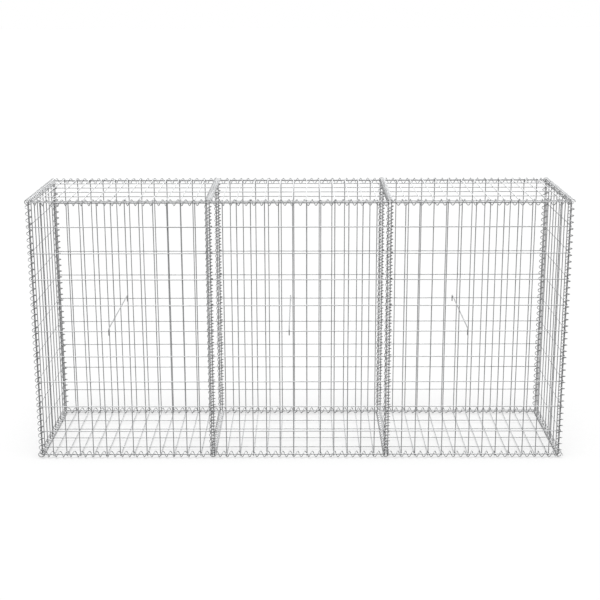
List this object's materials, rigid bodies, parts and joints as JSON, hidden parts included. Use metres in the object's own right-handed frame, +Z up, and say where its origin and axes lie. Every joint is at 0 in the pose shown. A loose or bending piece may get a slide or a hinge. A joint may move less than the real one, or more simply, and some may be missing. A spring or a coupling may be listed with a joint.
{
  "type": "gabion basket",
  "caption": "Empty welded mesh gabion basket, long and low, with a closed lid, inner diaphragms, spiral binders on every edge and bracing rods",
  "frame": {"origin": "on the ground under the middle of the basket", "axes": "+X along the length to the right end, +Y from the front panel to the back panel, +Z up"},
  "size_m": [2.0306, 0.5246, 1.019],
  "materials": {
    "mesh_wire": "galvanised",
    "binder_wire": "galvanised",
    "rod_wire": "galvanised"
  },
  "bodies": {
    "root": {"back_bottom_spiral_left": "binder_wire", "back_bottom_spiral_middle": "binder_wire", "back_bottom_spiral_right": "binder_wire", "back_panel": "mesh_wire", "back_top_spiral_left": "binder_wire", "back_top_spiral_middle": "binder_wire", "back_top_spiral_right": "binder_wire", "base_panel": "mesh_wire", "front_bottom_spiral_left": "binder_wire", "front_bottom_spiral_middle": "binder_wire", "front_bottom_spiral_right": "binder_wire", "front_panel": "mesh_wire", "front_top_spiral_left": "binder_wire", "front_top_spiral_middle": "binder_wire", "front_top_spiral_right": "binder_wire", "left_bracing_rod": "rod_wire", "left_divider": "mesh_wire", "left_divider_back_spiral": "binder_wire", "left_divider_bottom_spiral": "binder_wire", "left_divider_front_spiral": "binder_wire", "left_divider_top_spiral": "binder_wire", "left_end_back_spiral": "binder_wire", "left_end_bottom_spiral": "binder_wire", "left_end_front_spiral": "binder_wire", "left_end_panel": "mesh_wire", "left_end_top_spiral": "binder_wire", "lid_panel": "mesh_wire", "middle_bracing_rod": "rod_wire", "right_bracing_rod": "rod_wire", "right_divider": "mesh_wire", "right_divider_back_spiral": "binder_wire", "right_divider_bottom_spiral": "binder_wire", "right_divider_front_spiral": "binder_wire", "right_divider_top_spiral": "binder_wire", "right_end_back_spiral": "binder_wire", "right_end_bottom_spiral": "binder_wire", "right_end_front_spiral": "binder_wire", "right_end_panel": "mesh_wire", "right_end_top_spiral": "binder_wire"}
  },
  "joints": []
}
